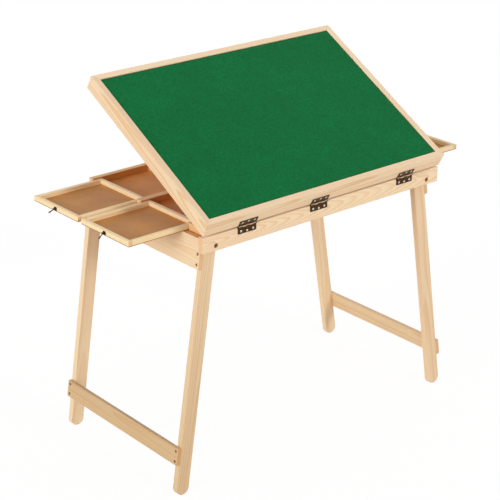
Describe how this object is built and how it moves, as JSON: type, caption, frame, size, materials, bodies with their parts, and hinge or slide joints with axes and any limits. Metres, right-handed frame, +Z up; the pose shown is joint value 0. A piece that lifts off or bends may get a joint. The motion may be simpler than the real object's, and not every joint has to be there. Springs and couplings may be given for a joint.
{
  "type": "folding jigsaw puzzle table",
  "caption": "Folding pine jigsaw table with a tilting green felt top, shallow side drawers and two folding leg frames.",
  "frame": {"origin": "on the floor, under the middle of the closed top", "axes": "+X along the table to the right as seen from the hinged front, +Y to the rear, +Z up"},
  "size_m": [1.2175, 0.5777, 1.0464],
  "materials": {
    "bright_screws": "plain steel heads",
    "bronze": "dark antique bronze",
    "dark_bolts": "blackened steel",
    "drawer_hardboard": "smooth hardboard",
    "green_felt": "short felt",
    "hardboard": "smooth brown hardboard",
    "pine_battens": "planed pine",
    "pine_boards": "clear satin pine",
    "pine_drawers": "clear satin pine",
    "pine_legs": "clear satin pine",
    "zinc": "zinc plated"
  },
  "bodies": {
    "case": {"front_board": "pine_boards", "rear_board": "pine_boards", "deck": "hardboard", "deck_battens": "pine_battens", "drawer_guides": "pine_battens", "bay_dividers": "pine_battens", "prop_racks": "pine_battens", "rear_rest": "pine_battens", "leg_bolts": "dark_bolts", "leg_nuts": "zinc", "leg_spacers": "pine_battens", "hinge_leaves_lower": "bronze", "hinge_pins": "bronze", "hinge_screws_lower": "bright_screws"},
    "top": {"top_front_board": "pine_boards", "top_rear_board": "pine_boards", "top_left_board": "pine_boards", "top_right_board": "pine_boards", "top_panel": "hardboard", "felt": "green_felt", "panel_cleats": "pine_battens", "hinge_leaves_upper": "bronze", "hinge_screws_upper": "bright_screws", "prop_brackets": "pine_battens", "prop_pivot_pins": "zinc"},
    "prop": {"prop_arms": "pine_battens", "prop_crossbar": "pine_battens", "prop_foot_dowel": "pine_battens"},
    "left_legs": {"left_front_leg": "pine_legs", "left_rear_leg": "pine_legs", "left_upper_rail": "pine_legs", "left_lower_stretcher": "pine_legs", "left_frame_screws": "dark_bolts"},
    "right_legs": {"right_front_leg": "pine_legs", "right_rear_leg": "pine_legs", "right_upper_rail": "pine_legs", "right_lower_stretcher": "pine_legs", "right_frame_screws": "dark_bolts"},
    "left_front_drawer": {"left_front_drawer_ends": "pine_drawers", "left_front_drawer_sides": "pine_drawers", "left_front_drawer_bottom": "drawer_hardboard", "left_front_pull_plate": "bronze"},
    "left_front_pull": {"left_front_pull_drop": "bronze"},
    "left_rear_drawer": {"left_rear_drawer_ends": "pine_drawers", "left_rear_drawer_sides": "pine_drawers", "left_rear_drawer_bottom": "drawer_hardboard", "left_rear_pull_plate": "bronze"},
    "left_rear_pull": {"left_rear_pull_drop": "bronze"},
    "right_front_drawer": {"right_front_drawer_ends": "pine_drawers", "right_front_drawer_sides": "pine_drawers", "right_front_drawer_bottom": "drawer_hardboard", "right_front_pull_plate": "bronze"},
    "right_front_pull": {"right_front_pull_drop": "bronze"},
    "right_rear_drawer": {"right_rear_drawer_ends": "pine_drawers", "right_rear_drawer_sides": "pine_drawers", "right_rear_drawer_bottom": "drawer_hardboard", "right_rear_pull_plate": "bronze"},
    "right_rear_pull": {"right_rear_pull_drop": "bronze"}
  },
  "joints": [
    {"name": "top_tilt", "type": "hinge", "parent": "case", "child": "top", "pos_m": [0, -0.2851, 0.7273], "axis": [1, 0, 0], "range_deg": [-29.5, 0]},
    {"name": "prop_swing", "type": "hinge", "parent": "top", "child": "prop", "pos_m": [0, -0.07907, 0.8689], "axis": [1, 0, 0], "range_deg": [0, 59]},
    {"name": "left_legs_fold", "type": "hinge", "parent": "case", "child": "left_legs", "pos_m": [-0.381, -0.005, 0.6955], "axis": [0, -1, 0], "range_deg": [0, 80.5]},
    {"name": "right_legs_fold", "type": "hinge", "parent": "case", "child": "right_legs", "pos_m": [0.381, -0.005, 0.6955], "axis": [0, 1, 0], "range_deg": [0, 81]},
    {"name": "left_front_slide", "type": "slide", "parent": "case", "child": "left_front_drawer", "axis": [-1, 0, 0], "range_m": [-0.16, 0.021]},
    {"name": "left_rear_slide", "type": "slide", "parent": "case", "child": "left_rear_drawer", "axis": [-1, 0, 0], "range_m": [-0.16, 0.021]},
    {"name": "right_front_slide", "type": "slide", "parent": "case", "child": "right_front_drawer", "axis": [1, 0, 0], "range_m": [-0.18, 0.001]},
    {"name": "right_rear_slide", "type": "slide", "parent": "case", "child": "right_rear_drawer", "axis": [1, 0, 0], "range_m": [0, 0.181]},
    {"name": "left_front_pull_swing", "type": "hinge", "parent": "left_front_drawer", "child": "left_front_pull", "pos_m": [-0.5892, -0.0825, 0.7216], "axis": [0, 1, 0], "range_deg": [-48, 102]},
    {"name": "left_rear_pull_swing", "type": "hinge", "parent": "left_rear_drawer", "child": "left_rear_pull", "pos_m": [-0.5892, 0.1435, 0.7216], "axis": [0, 1, 0], "range_deg": [-70, 80]},
    {"name": "right_front_pull_swing", "type": "hinge", "parent": "right_front_drawer", "child": "right_front_pull", "pos_m": [0.6092, -0.0825, 0.7216], "axis": [0, -1, 0], "range_deg": [0, 150]},
    {"name": "right_rear_pull_swing", "type": "hinge", "parent": "right_rear_drawer", "child": "right_rear_pull", "pos_m": [0.4292, 0.1435, 0.7216], "axis": [0, -1, 0], "range_deg": [0, 150]}
  ],
  "couplings": [
    {"joint": "prop_swing", "follows": "top_tilt", "ratio": -2}
  ]
}
